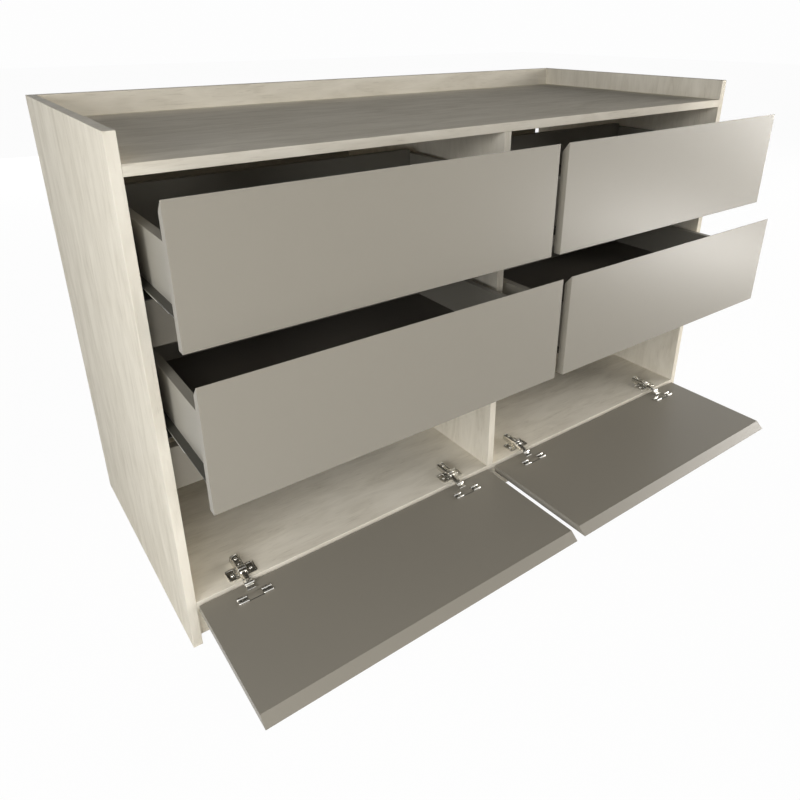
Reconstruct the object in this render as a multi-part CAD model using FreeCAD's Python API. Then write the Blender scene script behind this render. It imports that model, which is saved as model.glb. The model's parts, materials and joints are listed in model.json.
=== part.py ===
import FreeCAD, Part
import math
import os

# A wide chest of laminated board: a carcass with a tray top, two columns of two drawers,
# and a drop flap under each column. All sizes are in millimetres.
# Origin: centre of the footprint, on the floor. +X right, +Y to the back, +Z up.
# The drawers and flaps are drawn part open: drawers pulled out, flaps down.

Vector = FreeCAD.Vector

# Carcass
width = 1500.0
depth = 620.0
height = 960.0
board = 18.0
rim_height = 46.0
plinth_height = 86.0
plinth_setback = 24.0
back_sheet = 4.0
sheet_side_gap = 33.0
rear_rail_height = 80.0
cross_rail_height = 86.0
cross_rail_setback = 23.0
cross_rail_gap = 2.0
lower_rail_drop = 30.0
edge_round = 1.0

# Dowels that join the carcass boards
dowel_radius = 4.0
dowel_in_face = 12.0
dowel_in_end = 20.0
dowel_fit = 0.05
dowels_per_joint = 4
dowel_margin = 60.0

# Fronts of the drawers and flaps
front_board = 16.0
front_gap = 3.0
front_height = 214.0
finger_gap = 35.0
finger_land = 1.0
finger_bevel = 18.0
front_round = 0.8

# Drawer boxes
box_board = 16.0
box_length = 425.0
box_gap = 17.0
box_lift = 49.0
box_side_height = 92.5
box_back_height = 100.5
box_floor = 8.0
upper_pull = 150.0
lower_pull = 186.0

# Drawer runners: a rail on the carcass, a middle member and a channel on the drawer
runner_length = 410.0
runner_setback = 4.0
runner_height = 26.0
runner_gap = 4.0
runner_steel = 1.5
runner_slip = 0.3
channel_inset = 0.5
middle_web = 2.0

# Flap hinges
flap_drop = 5.6
swing_clearance = 0.5
hinge_inset = 96.0
cup_radius = 17.5
cup_depth = 11.5
cup_wall = 1.0
metal_fit = 0.05
cup_edge = 8.0
cup_lip = 1.5
flange_length = 70.0
flange_width = 16.5
flange_steel = 1.5
flange_offset = 10.0
cup_screw_spacing = 48.0
screw_head_radius = 3.5
screw_head_height = 1.6
screw_radius = 1.6
screw_length = 10.0
plate_front = 8.0
wing_span = 58.0
wing_width = 31.0
wing_round = 4.0
wing_steel = 3.0
wing_rim = 3.0
wing_pocket = 1.2
wing_screw_spacing = 38.0
saddle_width = 15.0
saddle_front = 26.0
saddle_length = 32.0
arm_tail = 3.0
arm_steel = 1.5
arm_slip = 0.2
arm_lift = 3.5
arm_screw_radius = 3.0
arm_screw_height = 1.2
arm_screw_spacing = 18.0
link_width = 14.6
link_thick = 7.0
link_pivot_gap = 5.5
link_pivot_lift = 10.0
link_end_offset = 6.5
link_clearance = 0.3
pin_radius = 2.0
pin_fit = 0.1

# Places worked out from the sizes above
y_front = -depth / 2
y_back = depth / 2
x_wall = width / 2 - board
x_divider = board / 2
z_floor_panel = plinth_height + board
z_tray = height - rim_height
z_ceiling = z_tray - board
y_rear = y_back - board

# Each column is the clear space between two walls
columns = {"left": (-x_wall, -x_divider), "right": (x_divider, x_wall)}

# Each row of drawers: lower edge of its fronts, and how far its drawers are pulled out
z_upper = z_ceiling - front_gap - front_height
z_lower = z_upper - finger_gap - front_height
rows = {"upper": (z_upper, upper_pull), "lower": (z_lower, lower_pull)}

# The flap turns about a line in front of the floor panel. Closed, it stands over the panel's edge;
# open, it lies flap_drop below the panel. The gap lets its edge pass the panel's front corner.
flap_turn = (flap_drop + front_board) / 2
flap_edge_gap = (math.sqrt(2) - 1) * flap_turn + swing_clearance
flap_height = z_lower - finger_gap - z_floor_panel - flap_edge_gap
y_flap_edge = y_front - flap_edge_gap
z_flap_face = z_floor_panel - flap_drop
y_flap_pivot = y_front + flap_turn
z_flap_pivot = z_floor_panel - flap_turn
cup_centre = cup_edge + cup_radius
flange_line = cup_centre + flange_offset

# The link swings in front of the hinge arm; its far end lies on the pin across the cup's mouth
y_link_pivot = y_front + front_board + link_pivot_gap
z_link_pivot = z_floor_panel + link_pivot_lift
y_link_end = y_flap_edge - cup_centre + link_end_offset
z_link_end = z_flap_face + flange_steel + link_clearance + link_thick / 2
saddle_height = link_pivot_lift + arm_lift


def slab(x, y, z):
    """A box from three pairs of limits."""
    corner = Vector(min(x), min(y), min(z))
    return Part.makeBox(abs(x[1] - x[0]), abs(y[1] - y[0]), abs(z[1] - z[0]), corner)


def rod(radius, start, along, length):
    """A round bar from a start point along a direction."""
    return Part.makeCylinder(radius, length, start, along)


def joined(shapes):
    """Several solids fused into one, without the seams between flush faces."""
    return shapes[0].multiFuse(shapes[1:]).removeSplitter()


def eased_board(x, y, z, exposed):
    """A board whose edges are rounded where two of its exposed faces meet."""
    limits = {"-x": (0, min(x)), "+x": (0, max(x)), "-y": (1, min(y)),
              "+y": (1, max(y)), "-z": (2, min(z)), "+z": (2, max(z))}
    solid = slab(x, y, z)
    edges = []
    for edge in solid.Edges:
        middle = edge.CenterOfMass
        sides = [name for name, (axis, value) in limits.items() if abs(middle[axis] - value) < 1e-6]
        if all(name in exposed for name in sides):
            edges.append(edge)
    return solid.makeFillet(edge_round, edges)


def spread(first, last, count):
    """Evenly spaced places from first to last."""
    step = (last - first) / (count - 1)
    return [first + step * number for number in range(count)]


def save(node, shapes):
    """Write one node, a single solid or a group of separate ones."""
    shape = shapes[0] if len(shapes) == 1 else Part.makeCompound(shapes)
    shape.exportStep("parts/" + node + ".step")


# Carcass boards and their dowels


def dowel_joints():
    """Each dowel as a start point in a board's end, a direction into the face beyond it."""
    places = spread(y_front + dowel_margin, y_rear - dowel_margin, dowels_per_joint)
    joints = []
    for y in places:
        for z in (z_floor_panel - board / 2, z_tray - board / 2):
            joints.append((Vector(-x_wall, y, z), Vector(-1, 0, 0)))
            joints.append((Vector(x_wall, y, z), Vector(1, 0, 0)))
        joints.append((Vector(0, y, z_floor_panel), Vector(0, 0, -1)))
        joints.append((Vector(0, y, z_ceiling), Vector(0, 0, 1)))
    return joints


def dowel_rods(radius):
    """Round bars through every dowel joint, for the dowels and for their holes."""
    bars = []
    for face, along in dowel_joints():
        bars.append(rod(radius, face - along * dowel_in_end, along, dowel_in_end + dowel_in_face))
    return bars


def carcass_boards():
    """The boards of the carcass by node name."""
    inside = (-x_wall, x_wall)
    outline = {"-x", "+x", "-y", "+y", "+z"}
    boards = {
        "side_panel_left": eased_board((-width / 2, -x_wall), (y_front, y_back), (0, height), outline),
        "side_panel_right": eased_board((x_wall, width / 2), (y_front, y_back), (0, height), outline),
        "top_panel": eased_board(inside, (y_front, y_rear), (z_ceiling, z_tray), {"-y", "+z", "-z"}),
        "bottom_panel": eased_board(inside, (y_front, y_rear), (plinth_height, z_floor_panel),
                                    {"-y", "+z", "-z"}),
        "centre_divider": eased_board((-x_divider, x_divider), (y_front, y_rear),
                                      (z_floor_panel, z_ceiling), {"-y", "-x", "+x"}),
    }
    holes = dowel_rods(dowel_radius)
    return {node: solid.cut(holes) for node, solid in boards.items()}


def carcass_fillings():
    """Rails, plinth boards and back sheet that need no dowels."""
    inside = (-x_wall, x_wall)
    y_plinth = y_front + plinth_setback
    pieces = {
        "tray_back_rail": eased_board(inside, (y_rear, y_back), (z_ceiling, height), {"-y", "+y", "+z"}),
        "back_sheet": slab((sheet_side_gap - x_wall, x_wall - sheet_side_gap),
                           (y_rear, y_rear + back_sheet), (plinth_height, z_ceiling)),
        "plinth_front": slab(inside, (y_plinth, y_plinth + board), (0, plinth_height)),
        "plinth_rear": slab(inside, (y_rear - board, y_rear), (0, plinth_height)),
        "plinth_centre": slab((-x_divider, x_divider), (y_plinth + board, y_rear - board),
                              (0, plinth_height)),
    }
    for column, walls in columns.items():
        pieces["rear_rail_" + column] = slab(walls, (y_rear - board, y_rear),
                                             (z_ceiling - rear_rail_height, z_ceiling))
    return pieces


def cross_rails(z_front, drop):
    """The rails behind a finger gap, one across each column, under the runners of a row of drawers."""
    y_rail = y_front + front_board + cross_rail_setback
    z_top = z_front + box_lift - runner_height - cross_rail_gap - drop
    return [eased_board(walls, (y_rail, y_rail + board), (z_top - cross_rail_height, z_top),
                        {"-y", "+y", "-z", "+z"}) for walls in columns.values()]


# Fronts


def bevelled_front(face_height):
    """Outline of a front as (height, depth) points: its top edge is cut back for the fingers."""
    return [(0, 0), (face_height, 0), (face_height, finger_land), (face_height - finger_bevel, front_board),
            (0, front_board)]


def front_solid(walls, outline, place):
    """A front between two walls, with its face edges rounded; place turns the outline into points."""
    x_start = walls[0] + front_gap
    x_end = walls[1] - front_gap
    points = [place(x_start, up, back) for up, back in outline]
    solid = Part.Face(Part.makePolygon(points + points[:1])).extrude(Vector(x_end - x_start, 0, 0))
    face = [place(x_start, up, back) for up, back in outline if back == 0]
    edges = []
    for edge in solid.Edges:
        on_face = [abs((vertex.Point - face[0]).dot(place(0, 0, 1) - place(0, 0, 0))) < 1e-6
                   for vertex in edge.Vertexes]
        along_tip = all(abs((vertex.Point - face[1]).dot(place(0, 1, 0) - place(0, 0, 0))) < 1e-6
                        for vertex in edge.Vertexes)
        if all(on_face) and not along_tip:
            edges.append(edge)
    return solid.makeFillet(front_round, edges)


# Drawers and their runners


def drawer_pieces(walls, z_front, pull):
    """The boards of one drawer, pulled out of its closed place."""
    y_face = y_front - pull
    y_box = y_face + front_board
    y_end = y_box + box_length
    x_outer = (walls[0] + box_gap, walls[1] - box_gap)
    x_inner = (x_outer[0] + box_board, x_outer[1] - box_board)
    z_box = z_front + box_lift
    z_side = z_box + box_side_height

    def upright(x, up, back):
        return Vector(x, y_face + back, z_front + up)

    return {
        "drawer_front": front_solid(walls, bevelled_front(front_height), upright),
        "drawer_side_left": eased_board((x_outer[0], x_inner[0]), (y_box, y_end), (z_box, z_side),
                                        {"-x", "+x", "+y", "+z"}),
        "drawer_side_right": eased_board((x_inner[1], x_outer[1]), (y_box, y_end), (z_box, z_side),
                                         {"-x", "+x", "+y", "+z"}),
        "drawer_back": eased_board(x_inner, (y_end - box_board, y_end),
                                   (z_box + box_floor, z_box + box_back_height), {"-y", "+y", "+z"}),
        "drawer_floor": slab(x_inner, (y_box, y_end), (z_box, z_box + box_floor)),
    }


def runner_sets(walls, z_front, pull):
    """Rail, middle member and drawer channel, each as a left and a right solid."""
    z_top = z_front + box_lift
    z_base = z_top - runner_height
    y_closed = y_front + front_board + runner_setback
    inner = box_gap + box_board - channel_inset
    under_box = (box_gap + channel_inset, inner - runner_steel - runner_slip)
    web_middle = (under_box[0] + under_box[1]) / 2
    z_slider = (z_base + runner_steel + runner_slip, z_top - runner_steel - runner_slip)
    sets = {"rail": [], "middle": [], "channel": []}
    for wall, inward in ((walls[0], 1), (walls[1], -1)):

        def strip(across, z, shift):
            x = (wall + inward * across[0], wall + inward * across[1])
            return slab(x, (y_closed - shift, y_closed - shift + runner_length), z)

        sets["rail"].append(joined([
            strip((0, runner_steel), (z_base, z_slider[1]), 0),
            strip((0, inner), (z_base, z_base + runner_steel), 0),
        ]))
        sets["middle"].append(joined([
            strip((runner_gap, under_box[1]), (z_slider[1] - runner_steel, z_slider[1]), pull / 2),
            strip(under_box, (z_slider[0], z_slider[0] + runner_steel), pull / 2),
            strip((web_middle - middle_web / 2, web_middle + middle_web / 2), z_slider, pull / 2),
        ]))
        sets["channel"].append(joined([
            strip((runner_gap, inner), (z_top - runner_steel, z_top), pull),
            strip((inner - runner_steel, inner), (z_slider[0], z_top), pull),
        ]))
    return sets


# Flaps and hinges


def flap_point(x, out, down):
    """A point of the open flap: out from its hinged edge, down from its inner face."""
    return Vector(x, y_flap_edge - out, z_flap_face - down)


def hinge_places(walls):
    """Middle of each hinge of one flap."""
    return (walls[0] + front_gap + hinge_inset, walls[1] - front_gap - hinge_inset)


def cup_screw_places(x):
    """Where the two screws of one cup enter the flap."""
    return [flap_point(x + side * cup_screw_spacing / 2, flange_line, 0) for side in (-1, 1)]


def flap_panel(walls):
    """The open flap, bored for its hinge cups and their screws."""

    def laid_open(x, up, back):
        return flap_point(x, up, front_board - back)

    solid = front_solid(walls, bevelled_front(flap_height), laid_open)
    down = Vector(0, 0, -1)
    bores = []
    for x in hinge_places(walls):
        bores.append(rod(cup_radius, flap_point(x, cup_centre, 0), down, cup_depth))
        bores += [rod(screw_radius, place, down, screw_length) for place in cup_screw_places(x)]
    return solid.cut(bores)


def hinge_cup(x):
    """A cup with a lip, a flange that lies on the flap and a pin across its mouth."""
    down = Vector(0, 0, -1)
    mouth = flap_point(x, cup_centre, -flange_steel)
    near = flange_line - flange_width / 2
    flange = slab((x - flange_length / 2, x + flange_length / 2),
                  (y_flap_edge - near, y_flap_edge - near - flange_width),
                  (z_flap_face, z_flap_face + flange_steel))
    corners = [edge for edge in flange.Edges if abs(edge.tangentAt(0).z) > 0.5]
    flange = flange.makeFillet(flange_width / 4, corners)
    lip = rod(cup_radius + cup_lip, mouth, down, flange_steel)
    shell = rod(cup_radius - metal_fit, mouth, down, flange_steel + cup_depth)
    hollow = rod(cup_radius - metal_fit - cup_wall, mouth, down, flange_steel + cup_depth - cup_wall)
    holes = [rod(screw_radius + metal_fit, place + Vector(0, 0, flange_steel), down, flange_steel)
             for place in cup_screw_places(x)]
    pin = rod(pin_radius, Vector(x - cup_radius, y_link_end, mouth.z - metal_fit - pin_radius),
              Vector(1, 0, 0), 2 * cup_radius)
    wall_middle = rod(cup_radius - metal_fit - cup_wall / 2, mouth, down, cup_depth)
    return joined([joined([flange, lip, shell]).cut([hollow] + holes), pin.common(wall_middle)])


def screw(tip_of_hole, seat_height):
    """A pan-head screw whose head sits seat_height above the hole it enters."""
    down = Vector(0, 0, -1)
    head_top = tip_of_hole + Vector(0, 0, seat_height + screw_head_height)
    head = rod(screw_head_radius, head_top, down, screw_head_height)
    head = head.makeFillet(screw_head_height / 2, [head.Edges[0]])
    shank = rod(screw_radius, head_top, down, screw_head_height + seat_height + screw_length)
    return joined([head, shank])


def wing_screw_places(x):
    """Where the two screws of one mounting plate enter the bottom panel."""
    y = y_front + plate_front + wing_width / 2
    return [Vector(x + side * wing_screw_spacing / 2, y, z_floor_panel) for side in (-1, 1)]


def mounting_plate(x):
    """The plate screwed to the bottom panel: two hollowed wings and the saddle for the arm."""
    y_wing = y_front + plate_front
    wing = slab((x - wing_span / 2, x + wing_span / 2), (y_wing, y_wing + wing_width),
                (z_floor_panel, z_floor_panel + wing_steel))
    corners = [edge for edge in wing.Edges if abs(edge.tangentAt(0).z) > 0.5]
    wing = wing.makeFillet(wing_round, corners)
    x_arm = saddle_width / 2 + arm_slip + arm_steel
    pockets = [slab((x + side * (x_arm + wing_rim), x + side * (wing_span / 2 - wing_rim)),
                    (y_wing + wing_rim, y_wing + wing_width - wing_rim),
                    (z_floor_panel + wing_steel - wing_pocket, z_floor_panel + wing_steel))
               for side in (-1, 1)]
    y_saddle = y_front + saddle_front
    saddle = slab((x - saddle_width / 2, x + saddle_width / 2), (y_saddle, y_saddle + saddle_length),
                  (z_floor_panel, z_floor_panel + saddle_height))
    holes = [rod(screw_radius + metal_fit, place, Vector(0, 0, 1), wing_steel)
             for place in wing_screw_places(x)]
    return joined([wing, saddle]).cut(pockets + holes)


def hinge_arm(x):
    """A channel over the saddle, with two cheeks that hold the link's pin."""
    inner = saddle_width / 2 + arm_slip
    outer = inner + arm_steel
    y_nose = y_link_pivot - link_thick / 2
    y_saddle = y_front + saddle_front
    y_tail = y_saddle + saddle_length + arm_tail
    z_cheek = (z_floor_panel + wing_steel + arm_slip, z_floor_panel + saddle_height + arm_steel)
    cheeks = []
    for side in (-1, 1):
        cheek = slab((x + side * inner, x + side * outer), (y_nose, y_tail), z_cheek)
        corners = [edge for edge in cheek.Edges if abs(edge.tangentAt(0).x) > 0.5]
        cheeks.append(cheek.makeFillet(arm_steel, corners))
    web = slab((x - outer, x + outer), (y_saddle, y_tail - arm_steel),
               (z_floor_panel + saddle_height, z_floor_panel + saddle_height + arm_steel))
    bore = rod(pin_radius + metal_fit, Vector(x - outer, y_link_pivot, z_link_pivot),
               Vector(1, 0, 0), 2 * outer)
    return joined([web] + cheeks).cut(bore)


def hinge_pin(x):
    """The pin that the link swings on."""
    outer = saddle_width / 2 + arm_slip + arm_steel
    return rod(pin_radius, Vector(x - outer, y_link_pivot, z_link_pivot), Vector(1, 0, 0), 2 * outer)


def hinge_link(x):
    """A bar with round ends, from the arm's pin to just over the cup's pin."""
    start = Vector(x - link_width / 2, y_link_pivot, z_link_pivot)
    end = Vector(x - link_width / 2, y_link_end, z_link_end)
    run = end - start
    across = run.cross(Vector(1, 0, 0)).normalize() * (link_thick / 2)
    tip = run * (1 / run.Length) * (link_thick / 2)
    outline = Part.Wire([
        Part.LineSegment(start + across, end + across).toShape(),
        Part.Arc(end + across, end + tip, end - across).toShape(),
        Part.LineSegment(end - across, start - across).toShape(),
        Part.Arc(start - across, start - tip, start + across).toShape(),
    ])
    bar = Part.Face(outline).extrude(Vector(link_width, 0, 0))
    return bar.cut(rod(pin_radius + pin_fit, start, Vector(1, 0, 0), link_width))


def arm_screws(x):
    """The two set screws on top of one arm."""
    middle = y_front + saddle_front + saddle_length / 2
    seat = z_floor_panel + saddle_height + arm_steel
    places = [Vector(x, middle + side * arm_screw_spacing / 2, seat) for side in (-1, 1)]
    return [rod(arm_screw_radius, place, Vector(0, 0, 1), arm_screw_height) for place in places]


os.makedirs("parts", exist_ok=True)

hinges = [x for walls in columns.values() for x in hinge_places(walls)]
plate_screw_holes = [rod(screw_radius, place, Vector(0, 0, -1), screw_length)
                     for x in hinges for place in wing_screw_places(x)]

for node, solid in carcass_boards().items():
    if node == "bottom_panel":
        solid = solid.cut(plate_screw_holes)
    save(node, [solid])
for node, solid in carcass_fillings().items():
    save(node, [solid])
save("cross_rails_upper", cross_rails(z_upper, 0))
save("cross_rails_lower", cross_rails(z_lower, lower_rail_drop))
save("carcass_dowels", dowel_rods(dowel_radius - dowel_fit))

for row, (z_front, pull) in rows.items():
    for column, walls in columns.items():
        place = "_" + row + "_" + column
        for piece, solid in drawer_pieces(walls, z_front, pull).items():
            save(piece + place, [solid])
        for member, pair in runner_sets(walls, z_front, pull).items():
            save("runner_" + member + place, pair)

for column, walls in columns.items():
    places = hinge_places(walls)
    save("flap_" + column, [flap_panel(walls)])
    save("hinge_cups_" + column, [hinge_cup(x) for x in places])
    save("hinge_cup_screws_" + column, [screw(place, flange_steel)
                                        for x in places for place in cup_screw_places(x)])
    save("hinge_links_" + column, [hinge_link(x) for x in places])

save("hinge_plates", [mounting_plate(x) for x in hinges])
save("hinge_arms", [hinge_arm(x) for x in hinges])
save("hinge_pins", [hinge_pin(x) for x in hinges])
save("hinge_plate_screws", [screw(place, wing_steel - wing_pocket)
                            for x in hinges for place in wing_screw_places(x)])
save("hinge_arm_screws", [solid for x in hinges for solid in arm_screws(x)])

print("flap pivot y, z:", y_flap_pivot, z_flap_pivot)
print("link pivot y, z:", y_link_pivot, z_link_pivot)
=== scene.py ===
import json
import math

import bmesh
import bpy
from bpy.props import FloatProperty, FloatVectorProperty, PointerProperty
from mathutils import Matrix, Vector


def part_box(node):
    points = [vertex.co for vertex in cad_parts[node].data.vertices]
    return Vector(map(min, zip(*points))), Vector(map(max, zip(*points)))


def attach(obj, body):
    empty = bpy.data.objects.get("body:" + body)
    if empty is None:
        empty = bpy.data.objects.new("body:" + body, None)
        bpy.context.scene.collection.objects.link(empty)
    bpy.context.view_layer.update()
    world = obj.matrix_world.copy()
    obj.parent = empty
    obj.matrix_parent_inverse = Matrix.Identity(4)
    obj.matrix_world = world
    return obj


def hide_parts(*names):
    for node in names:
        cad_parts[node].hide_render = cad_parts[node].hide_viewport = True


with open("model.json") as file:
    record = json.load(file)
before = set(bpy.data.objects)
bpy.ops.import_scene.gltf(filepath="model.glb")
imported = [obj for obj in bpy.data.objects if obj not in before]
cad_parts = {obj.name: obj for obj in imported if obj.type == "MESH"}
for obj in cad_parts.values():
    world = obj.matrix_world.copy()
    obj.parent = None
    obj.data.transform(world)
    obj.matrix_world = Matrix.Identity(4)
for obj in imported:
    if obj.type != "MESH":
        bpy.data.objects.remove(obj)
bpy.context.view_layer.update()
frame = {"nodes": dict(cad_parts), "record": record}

# Dresses a wide chest of laminated board: finishes for its boards, fronts and runners, hinges and screws
# modelled in full, and a plain stage seen from the chest's left front corner.

bl_info = {
    "name": "Drawer Chest Dressing",
    "version": (1, 0, 0),
    "blender": (4, 5, 0),
    "location": "View3D > Sidebar > Chest",
    "description": "Finishes, hinges and stage for a wide chest with drawers and drop flaps",
    "category": "Object",
}

ROWS = ("upper", "lower")
COLUMNS = ("left", "right")
DRAWERS = ["%s_%s" % (row, column) for row in ROWS for column in COLUMNS]

# Metres: the rounding of steel edges, and how far a cutter reaches past what it cuts
SOFT_EDGE = 0.0003
FINE_EDGE = 0.0002
PAST = 0.001

# Over this cosine, a face or an edge counts as lying along an axis
ALONG = 0.9

# The camera, found from the corners of the boards: metres, radians, and pixels of a square picture
CAMERA_PLACE = (-0.9624, -1.3114, 1.0938)
CAMERA_TURN = (1.158, 0, -0.629)
PICTURE_SIDE = 800
FOCAL_PIXELS = 678.4
CENTRE_PIXELS = (412.67, 319.54)
SENSOR_MILLIMETRES = 36


# Colours, sizes and nodes


def linear(hex_colour):
    """An sRGB hex colour as linear red, green, blue and alpha."""
    channels = [int(hex_colour[place:place + 2], 16) / 255 for place in (0, 2, 4)]
    return tuple(c / 12.92 if c <= 0.04045 else ((c + 0.055) / 1.055) ** 2.4 for c in channels) + (1.0,)


def colour(label, note, hex_colour):
    """A colour that a user can change."""
    return FloatVectorProperty(name=label, description=note, subtype="COLOR", size=4, min=0, max=1,
                               default=linear(hex_colour))


def length(label, note, millimetres):
    """A length that a user can change, given in millimetres and kept in metres."""
    return FloatProperty(name=label, description=note, unit="LENGTH", min=0, precision=4,
                         default=millimetres / 1000)


def power(label, note, watts):
    """A lamp's power that a user can change."""
    return FloatProperty(name=label, description=note, unit="POWER", min=0, default=watts)


def add_node(tree, kind, settings, inputs):
    """A shader node with its settings; an input, by name or number, is a value or a socket to link."""
    node = tree.nodes.new("ShaderNode" + kind)
    for name, value in settings.items():
        setattr(node, name, value)
    for name, value in inputs.items():
        socket = node.inputs[name] if isinstance(name, int) else next(
            s for s in node.inputs if s.enabled and s.name == name)
        if isinstance(value, bpy.types.NodeSocket):
            tree.links.new(value, socket)
        else:
            socket.default_value = value
    return node


def new_material(name):
    """A node material and its empty tree; a second call with the same name clears and reuses it."""
    material = bpy.data.materials.get(name) or bpy.data.materials.new(name)
    material.use_nodes = True
    tree = material.node_tree
    tree.nodes.clear()
    return material, tree


def seen_rays(tree):
    """1 for what the eye, a mirror or glass sees of the surround, 0 for the light that it gives."""
    path = add_node(tree, "LightPath", {}, {}).outputs
    mirrored = add_node(tree, "Math", {"operation": "MAXIMUM"}, {0: path["Is Glossy Ray"],
                                                                1: path["Is Transmission Ray"]})
    return add_node(tree, "Math", {"operation": "MAXIMUM"}, {0: path["Is Camera Ray"],
                                                            1: mirrored.outputs[0]}).outputs[0]


class ChestFinish(bpy.types.PropertyGroup):
    """Colours and grain of the chest's boards and metal."""

    oak_light: colour("Oak, pale wash", "Palest fibres of the whitewashed oak", "ECE6D8")
    oak_mid: colour("Oak, fibre", "Common tone of the whitewashed oak", "D6CFBF")
    oak_dark: colour("Oak, pore", "Open pores that the wash leaves grey", "B7AE9E")
    oak_streak: length("Oak streak", "Width of the broad streaks", 40)
    oak_fibre: length("Oak fibre", "Width of the fine fibres", 11)
    oak_pore: length("Oak pore", "Width of the pores", 3)
    lacquer: colour("Lacquer", "Taupe lacquer of fronts and flaps", "8F8A7F")
    drawer_board: colour("Drawer board", "Grey faces of the drawer boxes", "938F85")
    # Partly the floors' dark laminate, partly painted shade for the dim drawer insides
    drawer_floor: colour("Drawer floor", "Dark faces of the drawer floors", "5A554D")
    back_board: colour("Back board", "Grey face of the back sheet", "A8A296")
    dowel: colour("Dowel", "Beech dowels", "C9A578")
    # Also the colour of the painted shade on the hinge cups
    runner_dark: colour("Runner, coated", "Dark coat of rails and channels", "45443E")
    nickel: colour("Nickel", "Plate on hinges and screws", "DEDCD6")
    zinc: colour("Zinc", "Plate on the middle runner members", "C4C5C3")


class ChestHinge(bpy.types.PropertyGroup):
    """Sizes of the flap hinges and their screws."""

    flange_length: length("Flange length", "Length of a cup's flange across both wings", 70)
    flange_width: length("Flange width", "Width of a cup's flange", 16.5)
    flange_steel: length("Flange thickness", "Thickness of a cup's flange", 0.9)
    cup_radius: length("Cup radius", "Radius of a cup in the flap", 17.5)
    cap_width: length("Cap width", "Width of the cap between a flange's bars", 30)
    cap_height: length("Cap height", "Height of the cap over the flange", 0.3)
    cap_lid: length("Cap lid", "Height of the lid over a cup's bore", 0.1)
    bar_length: length("Bar length", "Length of the two round bars on a flange wing", 20)
    bar_radius: length("Bar radius", "Radius of a bar", 2.6)
    wing_span: length("Wing span", "Width of a mounting plate across both wings", 58)
    wing_width: length("Wing width", "Depth of a mounting plate's wings", 31)
    wing_steel: length("Wing thickness", "Thickness of a mounting plate's wings", 3)
    wing_corner: length("Wing corner", "Corner radius of the wings", 4)
    wing_rim: length("Wing rim", "Width of the rim round each pocket", 2.4)
    wing_pocket: length("Wing pocket", "Depth of the pocket in each wing", 1.2)
    arm_width: length("Arm width", "Width of an arm over its cheeks", 18.4)
    arm_shoulder: length("Arm shoulder", "Radius of the round shoulders along an arm", 4)
    arm_rim: length("Arm rim", "Width of the rim round the bed for an arm's screws", 0.6)
    arm_bed: length("Arm bed", "Depth of the bed for an arm's screws", 2)
    arm_roof: length("Arm roof", "Thickness of the steel under the bed", 1.2)
    link_width: length("Link width", "Width of a link between the arm's cheeks", 14.6)
    link_half: length("Link half thickness", "Half the thickness of a link", 3.5)
    knuckle: length("Knuckle", "Radius of a link's knuckle round its pin", 5)
    barrel: length("Barrel", "Radius of the barrel at a link's knee", 3.4)
    pin_hole: length("Pin hole", "Radius of the hole for a link's pin", 2.1)
    wing_screws: length("Wing screw spacing", "Distance between a mounting plate's two screws", 38)
    cup_screws: length("Cup screw spacing", "Distance between a cup's two screws", 48)
    arm_screws: length("Arm screw spacing", "Distance between an arm's two screws", 18)
    screw_head: length("Screw head", "Radius of a pan head", 3.5)
    screw_height: length("Screw head height", "Height of a pan head", 1.6)
    screw_shank: length("Screw shank", "Radius of a screw's shank", 1.6)
    screw_length: length("Screw length", "Length of a screw under its head", 12)


class ChestStage(bpy.types.PropertyGroup):
    """Light and ground around the chest."""

    floor_colour: colour("Floor", "Pale paint of the floor", "EDEDEB")
    front_power: power("Front light", "Power of the light above the left front", 30)
    near_power: power("Near light", "Power of the small light beside the camera", 7)
    left_power: power("Left light", "Power of the near light at the left", 40)
    right_power: power("Right light", "Power of the low far light at the right", 420)
    high_power: power("High light", "Power of the far light above the right front", 116)
    fill_power: power("Fill light", "Power of the strip light near the floor at the right front", 14)
    rear_power: power("Rear light", "Power of the low light behind the chest", 180)
    plain_colour: colour("Plain light", "Colour of the lights at the left and behind", "FFFFFF")
    warm_colour: colour("Warm light", "Colour of the lights at the right", "FFFCF8")
    ambient: FloatProperty(name="Ambient", description="Strength of the even light all round", default=0.02)
    floor_white: FloatProperty(name="Floor white", min=0, max=1, default=0.97,
                               description="Share of plain white in the floor that is seen")
    surround_white: FloatProperty(name="Surround white", min=0, max=1, default=0.985,
                                  description="Brightness of the surround that is seen")


# Materials


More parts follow.
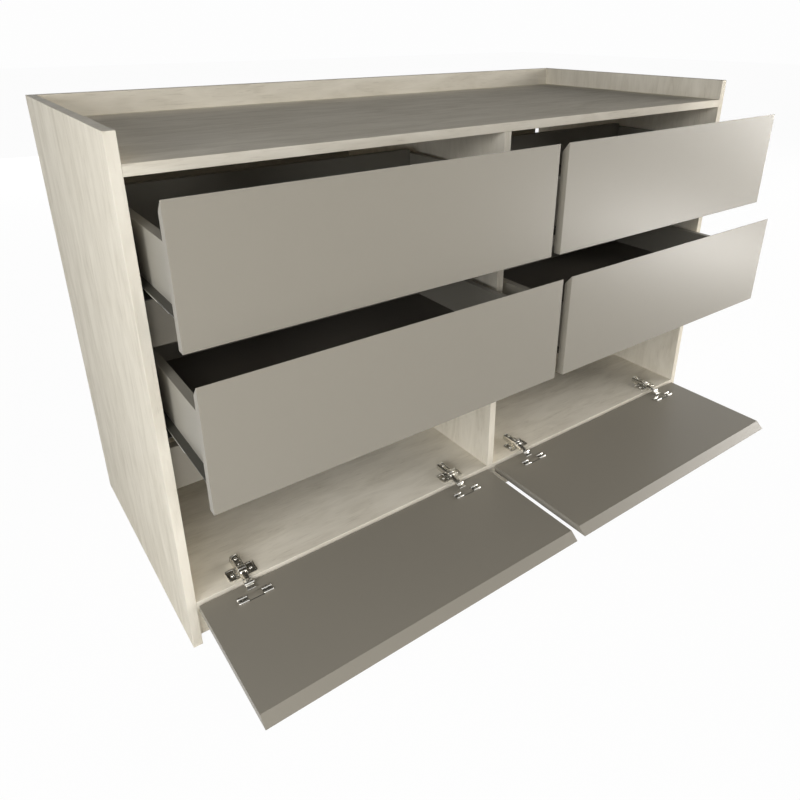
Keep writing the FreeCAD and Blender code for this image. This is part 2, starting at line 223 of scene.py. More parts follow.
def whitewashed_oak(finish, grain_axis):
    """Laminated board with a printed, embossed oak grain under a white wash.

    The grain runs along one axis, x, y or z: broad pale streaks, fine fibres, and short grey pores that
    are pressed in a little, so that raking light catches them. Real pores are under half a millimetre
    wide and wouldn't show, so they are drawn several times as coarse.
    """
    material, tree = new_material("whitewashed_oak_along_" + grain_axis)
    place = add_node(tree, "TexCoord", {}, {}).outputs["Object"]

    def strands(cell, stretch, **sockets):
        """Noise in cells of a given width, drawn out along the grain."""
        scale = [1 / cell] * 3
        scale["xyz".index(grain_axis)] /= stretch
        grain = add_node(tree, "Mapping", {}, {"Vector": place, "Scale": scale}).outputs[0]
        return add_node(tree, "TexNoise", {}, {"Vector": grain, "Scale": 1.0, **sockets}).outputs["Fac"]

    streaks = strands(finish.oak_streak, stretch=4, Detail=2.0, Roughness=0.55, Distortion=0.8)
    fibres = strands(finish.oak_fibre, stretch=4.5, Detail=2.0, Roughness=0.5, Distortion=1.0)
    pores = strands(finish.oak_pore, stretch=12, Detail=1.0, Distortion=0.4)
    streak_share = add_node(tree, "MapRange", {}, {"Value": streaks, "From Min": 0.26, "From Max": 0.74})
    fibre_share = add_node(tree, "MapRange", {}, {"Value": fibres, "From Min": 0.35, "From Max": 0.7,
                                                  "To Max": 0.45})
    pore_spots = add_node(tree, "MapRange", {}, {"Value": pores, "From Min": 0.62, "From Max": 0.74,
                                                 "To Max": 0.45})
    pore_share = add_node(tree, "Math", {"operation": "MULTIPLY"},
                          {0: pore_spots.outputs[0], 1: streak_share.outputs[0]})
    washed = add_node(tree, "Mix", {"data_type": "RGBA"},
                      {"Factor": streak_share.outputs[0], "A": finish.oak_light, "B": finish.oak_mid})
    lined = add_node(tree, "Mix", {"data_type": "RGBA"},
                     {"Factor": fibre_share.outputs[0], "A": washed.outputs["Result"], "B": finish.oak_light})
    grained = add_node(tree, "Mix", {"data_type": "RGBA"},
                       {"Factor": pore_share.outputs[0], "A": lined.outputs["Result"], "B": finish.oak_dark})
    pressed = add_node(tree, "Bump", {"invert": True},
                       {"Height": pore_share.outputs[0], "Strength": 0.35, "Distance": 0.0004})
    gloss = add_node(tree, "MapRange", {}, {"Value": fibres, "To Min": 0.58, "To Max": 0.74})
    surface = add_node(tree, "BsdfPrincipled", {}, {"Base Color": grained.outputs["Result"],
                                                    "Roughness": gloss.outputs[0],
                                                    "Normal": pressed.outputs[0], "IOR": 1.5,
                                                    "Specular IOR Level": 0.01})
    add_node(tree, "OutputMaterial", {}, {"Surface": surface.outputs[0]})
    return material


def mottled(name, base, cell, variation, roughness, bump, metallic=0.0, shine=0.5):
    """A nearly even finish whose tone, gloss and height vary a little, in spots as wide as a cell.

    The width of the spots tells the eye what it is: orange peel of a sprayed lacquer, speckle of a plain
    laminate, draw marks of plated steel.
    """
    material, tree = new_material(name)
    place = add_node(tree, "TexCoord", {}, {}).outputs["Object"]
    noise = add_node(tree, "TexNoise", {}, {"Vector": place, "Scale": 1 / cell, "Detail": 2.5}).outputs["Fac"]
    tone = add_node(tree, "MapRange", {}, {"Value": noise, "To Min": 1 - variation, "To Max": 1 + variation})
    tinted = add_node(tree, "HueSaturation", {}, {"Color": base, "Value": tone.outputs[0]})
    gloss = add_node(tree, "MapRange", {}, {"Value": noise, "To Min": roughness * 0.85,
                                            "To Max": roughness * 1.15})
    bumps = add_node(tree, "Bump", {}, {"Height": noise, "Strength": bump, "Distance": 0.0002})
    surface = add_node(tree, "BsdfPrincipled", {}, {"Base Color": tinted.outputs[0], "Metallic": metallic,
                                                    "Roughness": gloss.outputs[0],
                                                    "Normal": bumps.outputs[0],
                                                    "Specular IOR Level": shine})
    add_node(tree, "OutputMaterial", {}, {"Surface": surface.outputs[0]})
    return material


def grey_fibre_board(finish):
    """Pressed fibre board with a thin grey coat: dull, with cloudy patches as wide as a finger."""
    return mottled("grey_fibre_board", finish.back_board, cell=0.014, variation=0.09, roughness=0.6, bump=0.1)


def beech(finish):
    """Turned beech, left raw: dull and warm, flecked by its short pores."""
    return mottled("beech", finish.dowel, cell=0.001, variation=0.08, roughness=0.6, bump=0.1)


def taupe_satin_lacquer(finish):
    """Lacquer sprayed on fibre board: an even satin sheen with the faint orange peel of the spray."""
    return mottled("taupe_satin_lacquer", finish.lacquer, cell=0.0024, variation=0.01, roughness=0.38,
                   bump=0.06, shine=0.3)


def grey_laminated_board(finish):
    """Board with a plain paper laminate: half dull, with a fine even speckle."""
    return mottled("grey_laminated_board", finish.drawer_board, cell=0.001, variation=0.05, roughness=0.5,
                   bump=0.1)


def dark_laminate_and_painted_shade(finish):
    """Thin board with dark laminate, darker still as painted shade inside drawers: half dull, a stronger
    speckle.
    """
    return mottled("dark_laminate_and_painted_shade", finish.drawer_floor, cell=0.001, variation=0.06, roughness=0.5,
                   bump=0.1)


def dark_coat_and_painted_shade(finish):
    """Rolled steel with a dark baked coat: a low sheen, broken by its fine grain; on hinge cups, painted
    shade.
    """
    return mottled("dark_coat_and_painted_shade", finish.runner_dark, cell=0.0008, variation=0.06, roughness=0.42,
                   bump=0.1)


def zinc_plated_steel(finish):
    """Rolled steel, zinc plated: bright grey metal with faint soft patches."""
    return mottled("zinc_plated_steel", finish.zinc, cell=0.002, variation=0.04, roughness=0.3, bump=0.05,
                   metallic=1.0)


def nickel_plated_steel(finish):
    """Pressed steel, nickel plated: bright metal whose mirror is a little blurred."""
    return mottled("nickel_plated_steel", finish.nickel, cell=0.0015, variation=0.02, roughness=0.27,
                   bump=0.05, metallic=1.0)


def taupe_nylon(finish):
    """Moulded nylon in the flap's colour: even, with a low sheen and a fine grain from the mould."""
    return mottled("taupe_nylon", finish.lacquer, cell=0.0024, variation=0.012, roughness=0.38, bump=0.06,
                   shine=0.3)


def studio_floor_paint(stage):
    """Pale matt paint that the eye and mirrors see nearly white, with the chest's shadow still on it."""
    material, tree = new_material("studio_floor_paint")
    share = add_node(tree, "Math", {"operation": "MULTIPLY"}, {0: seen_rays(tree), 1: stage.floor_white})
    paint = add_node(tree, "BsdfDiffuse", {}, {"Color": stage.floor_colour})
    white = add_node(tree, "Emission", {}, {"Color": linear("FFFFFF"), "Strength": 1.0})
    mixed = add_node(tree, "MixShader", {}, {0: share.outputs[0], 1: paint.outputs[0], 2: white.outputs[0]})
    add_node(tree, "OutputMaterial", {}, {"Surface": mixed.outputs[0]})
    return material


def studio_surround(stage):
    """A surround that the eye and mirrors see as white, and that gives only a little even light."""
    world = bpy.data.worlds.new("studio_surround")
    world.use_nodes = True
    tree = world.node_tree
    tree.nodes.clear()
    soft = add_node(tree, "Background", {}, {"Color": linear("FFFFFF"), "Strength": stage.ambient})
    white = add_node(tree, "Background", {}, {"Color": linear("FFFFFF"), "Strength": stage.surround_white})
    mixed = add_node(tree, "MixShader", {}, {0: seen_rays(tree), 1: soft.outputs[0], 2: white.outputs[0]})
    add_node(tree, "OutputWorld", {}, {"Surface": mixed.outputs[0]})
    return world


def dress(nodes, material):
    """Give CAD nodes a finish."""
    for name in nodes:
        slots = frame["nodes"][name].data.materials
        slots.clear()
        slots.append(material)


# Modelling


def open_up(name):
    """Name the primitive just added, put its place and size into its mesh and open it for editing."""
    piece = bpy.context.object
    piece.name = name
    bpy.ops.object.transform_apply(location=True, rotation=True, scale=True)
    bpy.ops.object.mode_set(mode="EDIT")
    return piece


def add_block(name, low, high):
    """A box between two corners, as the active object, open for editing."""
    bpy.ops.object.select_all(action="DESELECT")
    low, high = Vector(low), Vector(high)
    bpy.ops.mesh.primitive_cube_add(size=1, location=(low + high) / 2)
    bpy.context.object.scale = high - low
    return open_up(name)


def add_rod(name, radius, low, high, sides):
    """A round bar between two points, as the active object, open for editing."""
    bpy.ops.object.select_all(action="DESELECT")
    low, high = Vector(low), Vector(high)
    turn = (high - low).to_track_quat("Z", "Y").to_euler()
    bpy.ops.mesh.primitive_cylinder_add(vertices=sides, radius=radius, depth=(high - low).length,
                                        location=(low + high) / 2, rotation=turn)
    return open_up(name)


def pick(kind, test):
    """Select the faces or edges whose middle and normal, or for an edge its direction, pass a test."""
    bpy.ops.mesh.select_mode(type=kind)
    bpy.ops.mesh.select_all(action="DESELECT")
    data = bpy.context.object.data
    mesh = bmesh.from_edit_mesh(data)
    if kind == "FACE":
        for face in mesh.faces:
            face.select_set(test(face.calc_center_median(), face.normal))
    else:
        for edge in mesh.edges:
            start, end = (vertex.co for vertex in edge.verts)
            edge.select_set(test((start + end) / 2, (end - start).normalized()))
    mesh.select_flush_mode()
    bmesh.update_edit_mesh(data)


def bisect(place, normal):
    """Cut the whole mesh along a plane and keep both sides."""
    bpy.ops.mesh.select_all(action="SELECT")
    bpy.ops.mesh.bisect(plane_co=place, plane_no=normal)


def sink(depth):
    """Push the selected faces straight down."""
    bpy.ops.mesh.extrude_region_move(TRANSFORM_OT_translate={"value": (0, 0, -depth)})


def round_corners(radius, segments):
    """Round the upright edges of the piece that is open for editing."""
    pick("EDGE", lambda middle, along: abs(along.z) > ALONG)
    bpy.ops.mesh.bevel(offset=radius, segments=segments, affect="EDGES")


def tip(angle, centre):
    """Turn the whole mesh of the active piece about the X axis through a point."""
    bpy.ops.object.mode_set(mode="EDIT")
    bpy.ops.mesh.select_all(action="SELECT")
    bpy.ops.transform.rotate(value=angle, orient_axis="X", center_override=centre)
    bpy.ops.object.mode_set(mode="OBJECT")


def close_up(piece, edge):
    """Leave editing, round the sharp edges by a small radius and smooth the shading."""
    bpy.ops.object.mode_set(mode="OBJECT")
    if edge:
        rounding = piece.modifiers.new("edges", "BEVEL")
        rounding.width = edge
        rounding.segments = 2
        rounding.limit_method = "ANGLE"
        rounding.angle_limit = math.radians(40)
        bpy.ops.object.modifier_apply(modifier=rounding.name)
    bpy.ops.object.shade_smooth_by_angle(angle=math.radians(35))
    return piece


def join(pieces):
    """Make one object of several; the first keeps its name."""
    bpy.ops.object.select_all(action="DESELECT")
    for piece in pieces:
        piece.select_set(True)
    bpy.context.view_layer.objects.active = pieces[0]
    if len(pieces) > 1:
        bpy.ops.object.join()
    return pieces[0]


def cut_away(piece, cutter):
    """Cut one object, still open for editing, out of another and drop the cutter."""
    bpy.ops.object.mode_set(mode="OBJECT")
    bpy.ops.object.select_all(action="DESELECT")
    bpy.context.view_layer.objects.active = piece
    piece.select_set(True)
    cut = piece.modifiers.new("cut", "BOOLEAN")
    cut.operation = "DIFFERENCE"
    cut.object = cutter
    bpy.ops.object.modifier_apply(modifier=cut.name)
    bpy.data.objects.remove(cutter)
    return piece


def copy_to(pattern, name, offset, material):
    """A copy of a pattern with its own mesh, moved into place in the mesh."""
    bpy.ops.object.select_all(action="DESELECT")
    pattern.select_set(True)
    bpy.context.view_layer.objects.active = pattern
    bpy.ops.object.duplicate()
    piece = bpy.context.object
    piece.name = name
    piece.data.name = name
    piece.location = offset
    bpy.ops.object.transform_apply(location=True, rotation=True, scale=True)
    piece.data.materials.clear()
    piece.data.materials.append(material)
    return piece


def settle(piece, body, slot, *nodes):
    """Let a finished piece ride on a body, in place of CAD nodes where it stands for some."""
    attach(piece, body)
    if nodes:
        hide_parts(*nodes)


def pan_head_screw(hinge):
    """A screw with its seat at the origin: a pan head with a cross recess over a pointed shank."""
    dome = hinge.screw_height * 0.7
    recess_floor = hinge.screw_height * 0.3
    blade = 0.0005
    arm = hinge.screw_head * 0.52
    tip_share = 0.1
    screw = add_rod("screw", hinge.screw_head, (0, 0, 0), (0, 0, hinge.screw_height), sides=32)
    pick("EDGE", lambda middle, along: abs(along.z) < ALONG and middle.z > hinge.screw_height / 2)
    bpy.ops.mesh.bevel(offset=dome, segments=4, affect="EDGES")
    pick("FACE", lambda middle, facing: facing.z < -ALONG)
    bpy.ops.mesh.inset(thickness=hinge.screw_head - hinge.screw_shank)
    sink(hinge.screw_length)
    sink(hinge.screw_shank)
    bpy.ops.transform.resize(value=(tip_share, tip_share, 1), center_override=(0, 0, -hinge.screw_length))
    close_up(screw, 0)
    for half_x, half_y in ((blade, arm), (arm, blade)):
        cut_away(screw, add_block("recess", (-half_x, -half_y, recess_floor),
                                  (half_x, half_y, hinge.screw_height * 2)))
    return screw


def hinge_places(hinge, column):
    """Names and middles along X of the two hinges of a column."""
    low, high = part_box("hinge_cups_" + column)
    names = ("outer", "inner") if column == "left" else ("inner", "outer")
    middles = (low.x + hinge.flange_length / 2, high.x - hinge.flange_length / 2)
    return [("%s_%s" % (column, name), x) for name, x in zip(names, middles)]


def all_hinge_places(hinge):
    """Names and middles along X of all four hinges."""
    return [place for column in COLUMNS for place in hinge_places(hinge, column)]


def joint_place(name):
    """Where a joint's axis lies."""
    joints = frame["record"]["behaviour"]["joints"]
    return Vector(next(joint["pos_m"] for joint in joints if joint["name"] == name))


# Operators


class CHEST_OT_boards(bpy.types.Operator):
    """Finish the boards of the carcass, each with its grain along its length"""

    bl_idname = "chest.boards"
    bl_label = "Carcass Boards"

    def execute(self, context):
        finish = context.scene.chest_finish
        dress(["side_panel_left", "side_panel_right", "centre_divider"], whitewashed_oak(finish, "z"))
        dress(["top_panel", "bottom_panel", "tray_back_rail", "plinth_front", "plinth_rear", "rear_rail_left",
               "rear_rail_right"], whitewashed_oak(finish, "x"))
        dress(["plinth_centre"], whitewashed_oak(finish, "y"))
        dress(["back_sheet"], grey_fibre_board(finish))
        dress(["carcass_dowels"], beech(finish))
        return {"FINISHED"}


class CHEST_OT_fronts(bpy.types.Operator):
    """Finish the drawer fronts, the flaps and the rails behind the finger gaps"""

    bl_idname = "chest.fronts"
    bl_label = "Fronts and Flaps"

    def execute(self, context):
        lacquer = taupe_satin_lacquer(context.scene.chest_finish)
        dress(["drawer_front_" + drawer for drawer in DRAWERS], lacquer)
        dress(["flap_" + column for column in COLUMNS], lacquer)
        dress(["cross_rails_" + row for row in ROWS], lacquer)
        return {"FINISHED"}


class CHEST_OT_drawer_boxes(bpy.types.Operator):
    """Finish the sides, backs and floors of the drawers"""

    bl_idname = "chest.drawer_boxes"
    bl_label = "Drawer Boxes"

    def execute(self, context):
        finish = context.scene.chest_finish
        board = grey_laminated_board(finish)
        # The floors' dark grey is partly painted shade for the inside of the drawers
        floor = dark_laminate_and_painted_shade(finish)
        for drawer in DRAWERS:
            dress([wall + drawer for wall in ("drawer_side_left_", "drawer_side_right_", "drawer_back_")],
                  board)
            dress(["drawer_floor_" + drawer], floor)
        return {"FINISHED"}


class CHEST_OT_runners(bpy.types.Operator):
    """Finish the drawer runners"""

    bl_idname = "chest.runners"
    bl_label = "Drawer Runners"

    def execute(self, context):
        finish = context.scene.chest_finish
        dark = dark_coat_and_painted_shade(finish)
        bright = zinc_plated_steel(finish)
        for drawer in DRAWERS:
            dress(["runner_rail_" + drawer, "runner_channel_" + drawer], dark)
            dress(["runner_middle_" + drawer], bright)
        return {"FINISHED"}


class CHEST_OT_hinge_plates(bpy.types.Operator):
    """Model the mounting plates: two pocketed wings and the saddle under the arm"""

    bl_idname = "chest.hinge_plates"
    bl_label = "Hinge Plates"

    def execute(self, context):
        hinge = context.scene.chest_hinge
        nickel = nickel_plated_steel(context.scene.chest_finish)
        low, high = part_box("hinge_plates")
        arm_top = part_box("hinge_arms")[1].z
        pivot = joint_place("links_left_hinge")
        pocket_gap = 0.001
        saddle_gap = 0.0005
        half = hinge.wing_span / 2
        waist = hinge.arm_width / 2 + pocket_gap
        inner = hinge.link_width / 2

        wing = add_block("hinge_plate", (-half, low.y, low.z),
                         (half, low.y + hinge.wing_width, low.z + hinge.wing_steel))
        round_corners(hinge.wing_corner, segments=5)
        for side in (-1, 1):
            bisect((side * waist, 0, 0), (1, 0, 0))
        pick("FACE", lambda middle, facing: facing.z > ALONG and abs(middle.x) > waist)
        bpy.ops.mesh.inset(thickness=hinge.wing_rim, use_individual=True)
        sink(hinge.wing_pocket)
        close_up(wing, SOFT_EDGE)
        saddle = add_block("saddle", (-inner, pivot.y + hinge.knuckle + saddle_gap, low.z),
                           (inner, high.y, arm_top - hinge.arm_bed - hinge.arm_roof))
        close_up(saddle, SOFT_EDGE)

        plate = join([wing, saddle])
        for place, x in all_hinge_places(hinge):
            piece = copy_to(plate, "hinge_plate_" + place, (x, 0, 0), nickel)
            settle(piece, "carcass", "hinge_nickel", "hinge_plates")
        bpy.data.objects.remove(plate)
        return {"FINISHED"}


class CHEST_OT_hinge_arms(bpy.types.Operator):
    """Model the arms: a domed channel with a sunk bed for its two screws"""

    bl_idname = "chest.hinge_arms"
    bl_label = "Hinge Arms"

    def execute(self, context):
        hinge = context.scene.chest_hinge
        nickel = nickel_plated_steel(context.scene.chest_finish)
        low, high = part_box("hinge_arms")
        pivot = joint_place("links_left_hinge")
        cheek_gap = 0.0002
        knuckle_gap = 0.0003
        bed_margin = 0.002
        half = hinge.arm_width / 2
        inner = hinge.link_width / 2 + cheek_gap
        gap_end = pivot.y + hinge.knuckle + knuckle_gap
        bed_front = gap_end + bed_margin
        middle_z = (low.z + high.z) / 2

        arm = add_block("hinge_arm", (-half, low.y, low.z), (half, high.y, high.z))
        pick("EDGE", lambda middle, along: abs(along.y) > ALONG and middle.z > middle_z)
        bpy.ops.mesh.bevel(offset=hinge.arm_shoulder, segments=6, affect="EDGES")
        bisect((0, bed_front, 0), (0, 1, 0))
        # The bed takes the flat top and the first strip of each round shoulder
        top_facing = 0.99
        pick("FACE", lambda middle, facing: facing.z > top_facing and middle.y > bed_front)
        bpy.ops.mesh.inset(thickness=hinge.arm_rim)
        sink(hinge.arm_bed)
        close_up(arm, FINE_EDGE)
        cut_away(arm, add_block("nose_gap", (-inner, low.y - PAST, low.z - PAST),
                                (inner, gap_end, high.z + PAST)))
        cut_away(arm, add_block("hollow", (-inner, gap_end - PAST, low.z - PAST),
                                (inner, high.y + PAST, high.z - hinge.arm_bed - hinge.arm_roof)))

        for place, x in all_hinge_places(hinge):
            piece = copy_to(arm, "hinge_arm_" + place, (x, 0, 0), nickel)
            settle(piece, "carcass", "hinge_nickel", "hinge_arms")
        bpy.data.objects.remove(arm)
        dress(["hinge_pins"], nickel)
        return {"FINISHED"}


class CHEST_OT_hinge_links(bpy.types.Operator):
    """Model the links: a knuckle on the pin, a domed nose, a barrel at the knee and a tongue into the cup"""

    bl_idname = "chest.hinge_links"
    bl_label = "Hinge Links"

    def execute(self, context):
        hinge = context.scene.chest_hinge
        nickel = nickel_plated_steel(context.scene.chest_finish)
        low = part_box("hinge_links_left")[0]
        pivot = joint_place("links_left_hinge")
        pivot.x = 0
        half = hinge.link_half
        fall = pivot.z - low.z - half
        run = pivot.y - low.y - half
        reach = math.hypot(run, fall)

        # Sizes in metres, and places along the link from its pin and over its middle line
        shank_near, shank_far = 0.0035, 0.009
        nose_near, nose_end, nose_top = 0.0056, reach * 0.72, 0.006
        nose_dome = hinge.arm_width * 0.48
        front_taper, rear_taper = (0.92, 1, 0.74), (0.96, 1, 0.78)
        hole_radius, hole_along, hole_up = 0.0019, reach * 0.55, 0.0006
        slit_step, slit_half, slit_length, slit_top = 0.0034, 0.0007, 0.006, 0.01
        barrel_along, barrel_width, barrel_edge = reach * 0.78, hinge.arm_width + 0.001, 0.0005
        tongue_width, tongue_end = hinge.link_width + 0.001, reach + 0.001
        tongue_low, tongue_top = 0.0001 - half, 0.0019 - half
        foot_radius, foot_width = 0.0012, hinge.arm_width - 0.001
        foot_along, foot_up = reach + 0.0015, 0.0013 - half
        drill_length = 0.03

        def block(name, width, near, far, under, over):
            """A box across the link between two places along it."""
            return add_block(name, (-width / 2, pivot.y - far, pivot.z + under),
                             (width / 2, pivot.y - near, pivot.z + over))

        def cross_rod(name, radius, width, along, up):
            """A round bar across the link."""
            middle = pivot + Vector((0, -along, up))
            across = Vector((width / 2, 0, 0))
            return add_rod(name, radius, middle - across, middle + across, sides=32)

        knuckle = close_up(cross_rod("hinge_link", hinge.knuckle, hinge.link_width, 0, 0), SOFT_EDGE)
        cut_away(knuckle, cross_rod("bore", hinge.pin_hole, drill_length, 0, 0))
        shank = block("shank", hinge.link_width, shank_near, shank_far, -half, hinge.knuckle)
        close_up(shank, FINE_EDGE)

        nose = block("nose", hinge.arm_width, nose_near, nose_end, -half, nose_top)
        pick("EDGE", lambda middle, along: abs(along.y) > ALONG and middle.z > pivot.z)
        bpy.ops.mesh.bevel(offset=nose_dome, segments=8, affect="EDGES")
        pick("FACE", lambda middle, facing: facing.y < -ALONG)
        bpy.ops.transform.resize(value=front_taper, center_override=(0, pivot.y - nose_end, pivot.z - half))
        pick("FACE", lambda middle, facing: facing.y > ALONG)
        bpy.ops.transform.resize(value=rear_taper, center_override=(0, pivot.y, pivot.z - half))
        close_up(nose, SOFT_EDGE)
        cut_away(nose, cross_rod("side_hole", hole_radius, drill_length, hole_along, hole_up))
        for x in (-slit_step, 0, slit_step):
            cut_away(nose, add_block("slit", (x - slit_half, pivot.y - nose_end - PAST, pivot.z - PAST),
                                     (x + slit_half, pivot.y - nose_end + slit_length, pivot.z + slit_top)))

        barrel = close_up(cross_rod("barrel", hinge.barrel, barrel_width, barrel_along, 0), barrel_edge)
        tongue = close_up(block("tongue", tongue_width, barrel_along, tongue_end, tongue_low, tongue_top),
                          SOFT_EDGE)
        foot = close_up(cross_rod("foot", foot_radius, foot_width, foot_along, foot_up), 0)

        link = join([knuckle, shank, nose, barrel, tongue, foot])
        tip(-math.atan2(fall, run), pivot)
        for column in COLUMNS:
            for place, x in hinge_places(hinge, column):
                piece = copy_to(link, "hinge_link_" + place, (x, 0, 0), nickel)
                settle(piece, "links_" + column, "hinge_nickel", "hinge_links_" + column)
        bpy.data.objects.remove(link)
        return {"FINISHED"}


class CHEST_OT_hinge_cups(bpy.types.Operator):
    """Model the cups in the flaps: a flange with two round bars on each wing, a cap, and dark pieces of
    painted shade
    """

    bl_idname = "chest.hinge_cups"
    bl_label = "Hinge Cups"

    def execute(self, context):
        hinge = context.scene.chest_hinge
        finish = context.scene.chest_finish
        low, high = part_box("hinge_cups_left")
        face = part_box("flap_left")[1].z
        half = hinge.flange_length / 2
        flange_back = low.y + hinge.flange_width
        flange_top = face + hinge.flange_steel
        cap_half = hinge.cap_width / 2
        cap_top = flange_top + hinge.cap_height
        cap_front = low.y + 0.001
        cap_corner = 0.002
        cup_middle = high.y - hinge.cup_radius
        lid_lap = 0.001
        lid_depth = 0.003
        flange_corner = 0.0025
        bar_edge = 0.0007

        plate = add_block("hinge_cap", (-cap_half, cap_front, face), (cap_half, flange_back, cap_top))
        round_corners(cap_corner, segments=4)
        close_up(plate, FINE_EDGE)
        lid = add_rod("lid", hinge.cup_radius + lid_lap, (0, cup_middle, face - lid_depth),
                      (0, cup_middle, face + hinge.cap_lid), sides=64)
        cap = join([plate, close_up(lid, 0)])

        plate = add_block("hinge_flange", (-half, low.y, face), (half, flange_back, flange_top))
        round_corners(flange_corner, segments=4)
        wings = [close_up(plate, FINE_EDGE)]
        for side in (-1, 1):
            for y in (low.y + hinge.bar_radius, flange_back - hinge.bar_radius):
                bar = add_rod("bar", hinge.bar_radius, (side * half, y, flange_top),
                              (side * (half - hinge.bar_length), y, flange_top), sides=24)
                wings.append(close_up(bar, bar_edge))
        flange = join(wings)

        # Painted shade: a dark strip stands for the shadow under the cap's front edge,
        # and a dark block stands for the shade in the gap between the two bars of each wing
        shade_strip_half = cap_half + 0.001
        shade_strip_front = low.y - 0.0002
        bar_gap_shade_end = half - 0.002
        bar_gap_shade_top = flange_top + 0.0004
        bar_gap_shade_front = low.y + 2 * hinge.bar_radius
        gap = flange_back - low.y - 4 * hinge.bar_radius
        strip = add_block("hinge_painted_shade", (-shade_strip_half, shade_strip_front, face), (shade_strip_half, cap_front, cap_top))
        painted_shades = [close_up(strip, 0)]
        for side in (-1, 1):
            ends = sorted((side * bar_gap_shade_end, side * (half - hinge.bar_length)))
            bar_gap_shade = add_block("hinge_painted_shade", (ends[0], bar_gap_shade_front, face),
                                (ends[1], bar_gap_shade_front + gap, bar_gap_shade_top))
            painted_shades.append(close_up(bar_gap_shade, FINE_EDGE))
        painted_shade = join(painted_shades)

        # The painted shade pieces take the dark coat of the runners
        nylon, nickel, dark = taupe_nylon(finish), nickel_plated_steel(finish), dark_coat_and_painted_shade(finish)
        for column in COLUMNS:
            for place, x in hinge_places(hinge, column):
                piece = copy_to(cap, "hinge_cap_" + place, (x, 0, 0), nylon)
                settle(piece, "flap_" + column, "taupe_lacquer", "hinge_cups_" + column)
                piece = copy_to(flange, "hinge_flange_" + place, (x, 0, 0), nickel)
                settle(piece, "flap_" + column, "hinge_nickel", "hinge_cups_" + column)
                piece = copy_to(painted_shade, "hinge_painted_shade_" + place, (x, 0, 0), dark)
                settle(piece, "flap_" + column, "runner_dark", "hinge_cups_" + column)
        for pattern in (cap, flange, painted_shade):
            bpy.data.objects.remove(pattern)
        return {"FINISHED"}


class CHEST_OT_hinge_screws(bpy.types.Operator):
    """Model the screws of the hinges, as one piece for each group"""

    bl_idname = "chest.hinge_screws"
    bl_label = "Hinge Screws"

    def execute(self, context):
        hinge = context.scene.chest_hinge
        nickel = nickel_plated_steel(context.scene.chest_finish)
        cup_sink = hinge.screw_height * 0.7
        plate_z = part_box("hinge_plates")[0].z + hinge.wing_steel - hinge.wing_pocket
        arm_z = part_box("hinge_arms")[1].z - hinge.arm_bed
        cup_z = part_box("flap_left")[1].z + hinge.flange_steel - cup_sink
        middles = [x for place, x in all_hinge_places(hinge)]
        # Name, node, body, middles of the hinges, spacing along X and along Y, and seat of each group
        groups = [("plate_screws", "hinge_plate_screws", "carcass", middles, hinge.wing_screws, 0, plate_z),
                  ("arm_screws", "hinge_arm_screws", "carcass", middles, 0, hinge.arm_screws, arm_z)]
        for column in COLUMNS:
            groups.append(("cup_screws_" + column, "hinge_cup_screws_" + column, "flap_" + column,
                           [x for place, x in hinge_places(hinge, column)], hinge.cup_screws, 0, cup_z))
        screw = pan_head_screw(hinge)
        for name, node, body, hinges, across, along, seat in groups:
            low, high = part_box(node)
            y = (low.y + high.y) / 2
            copies = [copy_to(screw, name, (x + side * across / 2, y + side * along / 2, seat), nickel)
                      for x in hinges for side in (-1, 1)]
            settle(join(copies), body, "screw_steel", node)
        bpy.data.objects.remove(screw)
        return {"FINISHED"}


class CHEST_OT_back_screws(bpy.types.Operator):
    """Model the screws that hold the back sheet, along its top, foot and middle"""

    bl_idname = "chest.back_screws"
    bl_label = "Back Sheet Screws"

    def execute(self, context):
        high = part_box("back_sheet")[1]
        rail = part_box("rear_rail_left")
        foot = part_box("bottom_panel")
        nickel = nickel_plated_steel(context.scene.chest_finish)
        screw = pan_head_screw(context.scene.chest_hinge)
        tip(math.pi / 2, (0, 0, 0))
        each_side = 4
        upright = 3
        step = high.x / (each_side + 0.5)
        heights = ((foot[0].z + foot[1].z) / 2, (rail[0].z + rail[1].z) / 2)
        rise = heights[1] - heights[0]
        places = [(nth * step, z) for z in heights for nth in range(-each_side, each_side + 1)]
        places += [(0, heights[0] + rise * nth / (upright + 1)) for nth in range(1, upright + 1)]
        copies = [copy_to(screw, "back_sheet_screws", (x, high.y, z), nickel) for x, z in places]
        settle(join(copies), "carcass", "screw_steel")
        bpy.data.objects.remove(screw)
        return {"FINISHED"}


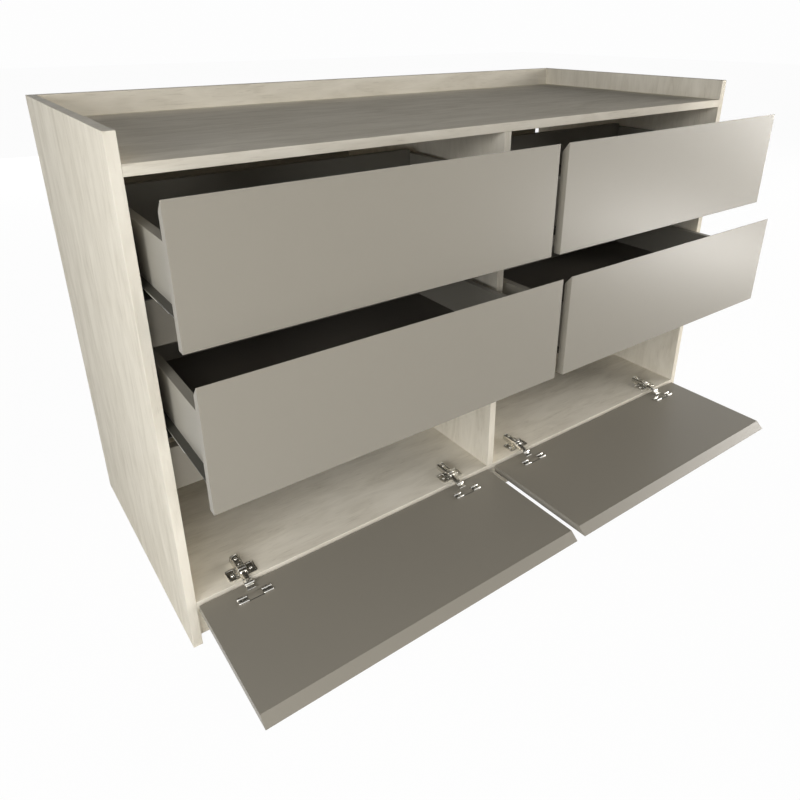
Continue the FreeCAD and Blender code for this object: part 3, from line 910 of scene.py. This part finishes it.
class CHEST_OT_stage(bpy.types.Operator):
    """Set the floor, the lights and the camera"""

    bl_idname = "chest.stage"
    bl_label = "Stage"

    def execute(self, context):
        stage = context.scene.chest_stage
        floor_size = 40
        floor_drop = 0.0005
        bpy.ops.object.select_all(action="DESELECT")
        bpy.ops.mesh.primitive_plane_add(size=floor_size, location=(0, 0, -floor_drop))
        floor = context.object
        floor.name = "studio_floor"
        floor.data.materials.append(studio_floor_paint(stage))
        context.scene.world = studio_surround(stage)

        middle = (-0.1, -0.2, 0.5)
        plain, warm = stage.plain_colour[:3], stage.warm_colour[:3]
        # Each lamp's name, its place, where it points, its power and colour, and its width and height
        for name, place, target, watts, tint, wide, tall in (
                ("front_light", (-2.6, -3.0, 2.6), (-0.3, -0.3, 0.3), stage.front_power, plain, 1.5, 1.5),
                ("near_light", (-1.3, -1.9, 0.85), (-0.3, -0.45, 0.15), stage.near_power, plain, 0.6, 0.6),
                ("left_light", (-2.8, -1.5, 1.2), middle, stage.left_power, plain, 1.0, 1.0),
                ("right_light", (5.81, -1.24, 0.6), middle, stage.right_power, warm, 2.6, 2.6),
                ("high_light", (5.1, -3.2, 2.4), middle, stage.high_power, warm, 2.0, 2.0),
                ("fill_light", (2.1, -1.7, 0.07), middle, stage.fill_power, warm, 0.8, 0.12),
                ("rear_light", (0.6, 5.5, 0.7), middle, stage.rear_power, plain, 2.0, 2.0)):
            bpy.ops.object.light_add(type="AREA", location=place)
            light = context.object
            light.name = name
            light.data.energy = watts
            light.data.color = tint
            light.data.shape = "RECTANGLE"
            light.data.size = wide
            light.data.size_y = tall
            light.rotation_euler = (Vector(target) - Vector(place)).to_track_quat("-Z", "Y").to_euler()

        bpy.ops.object.camera_add(location=CAMERA_PLACE, rotation=CAMERA_TURN)
        camera = context.object
        camera.data.sensor_width = SENSOR_MILLIMETRES
        camera.data.lens = FOCAL_PIXELS * SENSOR_MILLIMETRES / PICTURE_SIDE
        camera.data.shift_x = (PICTURE_SIDE / 2 - CENTRE_PIXELS[0]) / PICTURE_SIDE
        camera.data.shift_y = (CENTRE_PIXELS[1] - PICTURE_SIDE / 2) / PICTURE_SIDE
        camera.data.clip_start = 0.01
        context.scene.camera = camera
        context.scene.view_settings.view_transform = "Standard"
        return {"FINISHED"}


class CHEST_PT_panel(bpy.types.Panel):
    """Lists the steps that dress the chest"""

    bl_idname = "CHEST_PT_panel"
    bl_label = "Chest"
    bl_space_type = "VIEW_3D"
    bl_region_type = "UI"
    bl_category = "Chest"

    def draw(self, context):
        """One button for each step, in order."""
        for step in STEPS:
            self.layout.operator(step.bl_idname)


STEPS = (CHEST_OT_boards, CHEST_OT_fronts, CHEST_OT_drawer_boxes, CHEST_OT_runners, CHEST_OT_hinge_plates,
         CHEST_OT_hinge_arms, CHEST_OT_hinge_links, CHEST_OT_hinge_cups, CHEST_OT_hinge_screws,
         CHEST_OT_back_screws, CHEST_OT_stage)
CLASSES = (ChestFinish, ChestHinge, ChestStage) + STEPS + (CHEST_PT_panel,)


def register():
    """Make the classes and their settings known."""
    for cls in CLASSES:
        bpy.utils.register_class(cls)
    bpy.types.Scene.chest_finish = PointerProperty(type=ChestFinish)
    bpy.types.Scene.chest_hinge = PointerProperty(type=ChestHinge)
    bpy.types.Scene.chest_stage = PointerProperty(type=ChestStage)


def unregister():
    """Undo what register does, in reverse."""
    for name in ("chest_finish", "chest_hinge", "chest_stage"):
        delattr(bpy.types.Scene, name)
    for cls in reversed(CLASSES):
        bpy.utils.unregister_class(cls)


def main():
    """Dress the chest step by step."""
    register()
    for step in STEPS:
        group, name = step.bl_idname.split(".")
        getattr(getattr(bpy.ops, group), name)()


if __name__ == "__main__":
    main()
